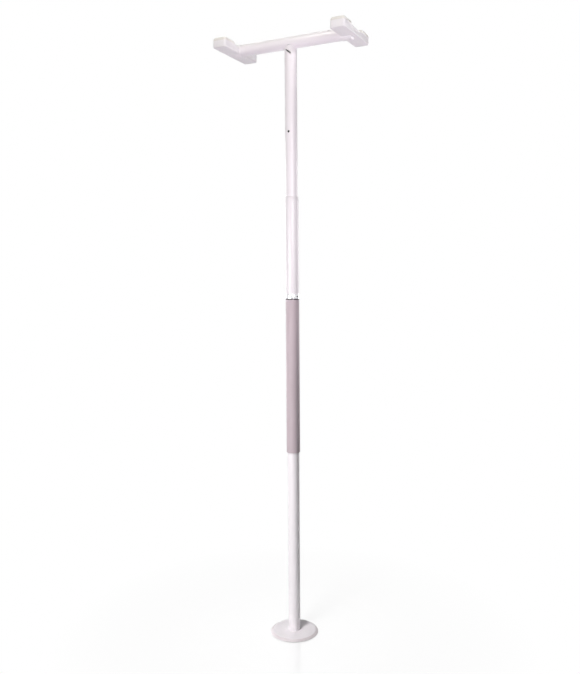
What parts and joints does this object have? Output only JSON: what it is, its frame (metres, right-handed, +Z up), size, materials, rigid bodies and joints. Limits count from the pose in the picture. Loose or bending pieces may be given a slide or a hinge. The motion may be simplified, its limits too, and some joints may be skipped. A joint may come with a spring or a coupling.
{
  "type": "transfer pole",
  "caption": "Floor-to-ceiling transfer pole: round floor plate, tube with grip sleeve, screw jack with a turned collar, telescoping upper tube and a T head with ceiling pads.",
  "frame": {"origin": "on the floor, under the middle of the floor plate", "axes": "+Z up along the pole; X along the cross tube; -Y is the side with the lock screw, +Y the side with the snap button"},
  "size_m": [0.51, 0.232, 2.2066],
  "materials": {
    "white_coat": "satin white powder coat",
    "white_plastic": "moulded white plastic, fine grain",
    "ivory_rubber": "dull ivory rubber",
    "grip_vinyl": "smooth mauve-grey vinyl with a soft sheen",
    "bright_metal": "bright plated and turned",
    "dark_steel": "black oxide, lightly oiled",
    "plain_steel": "zinc plated",
    "black_rubber": "matt black rubber",
    "black_plastic": "moulded black plastic"
  },
  "bodies": {
    "lower_pole": {"floor_pad": "black_rubber", "floor_plate": "white_coat", "base_plug": "plain_steel", "base_bolt": "plain_steel", "lower_tube": "white_coat", "hand_grip": "grip_vinyl", "jack_screw": "dark_steel"},
    "sleeve_unit": {"jack_sleeve": "white_coat", "thrust_washer": "bright_metal"},
    "collar": {"jack_collar": "bright_metal"},
    "head_unit": {"upper_tube": "white_coat", "snap_spring": "plain_steel", "head_stem": "plain_steel", "lock_screw": "dark_steel", "lock_nut": "plain_steel", "cross_tube": "white_coat", "left_tube_plug": "black_plastic", "right_tube_plug": "black_plastic", "left_pad": "white_plastic", "right_pad": "white_plastic", "left_facings": "ivory_rubber", "right_facings": "ivory_rubber", "pad_screws": "plain_steel"},
    "button": {"snap_button": "plain_steel"}
  },
  "joints": [
    {"name": "jack_rise", "type": "slide", "parent": "lower_pole", "child": "sleeve_unit", "axis": [0, 0, 1], "range_m": [0, 0.05]},
    {"name": "collar_turn", "type": "hinge", "parent": "sleeve_unit", "child": "collar", "pos_m": [0, 0, 1.2785], "axis": [0, 0, 1], "range_deg": [0, 2572]},
    {"name": "head_extend", "type": "slide", "parent": "sleeve_unit", "child": "head_unit", "axis": [0, 0, 1], "range_m": [0, 0.1524]},
    {"name": "button_press", "type": "slide", "parent": "head_unit", "child": "button", "axis": [0, -1, 0], "range_m": [0, 0.0066], "stiffness_N_per_m": 1500, "springref_m": -0.001, "deforming": ["snap_spring"]}
  ],
  "couplings": [
    {"joint": "collar_turn", "follows": "jack_rise", "rad_per_m": 897.6}
  ]
}
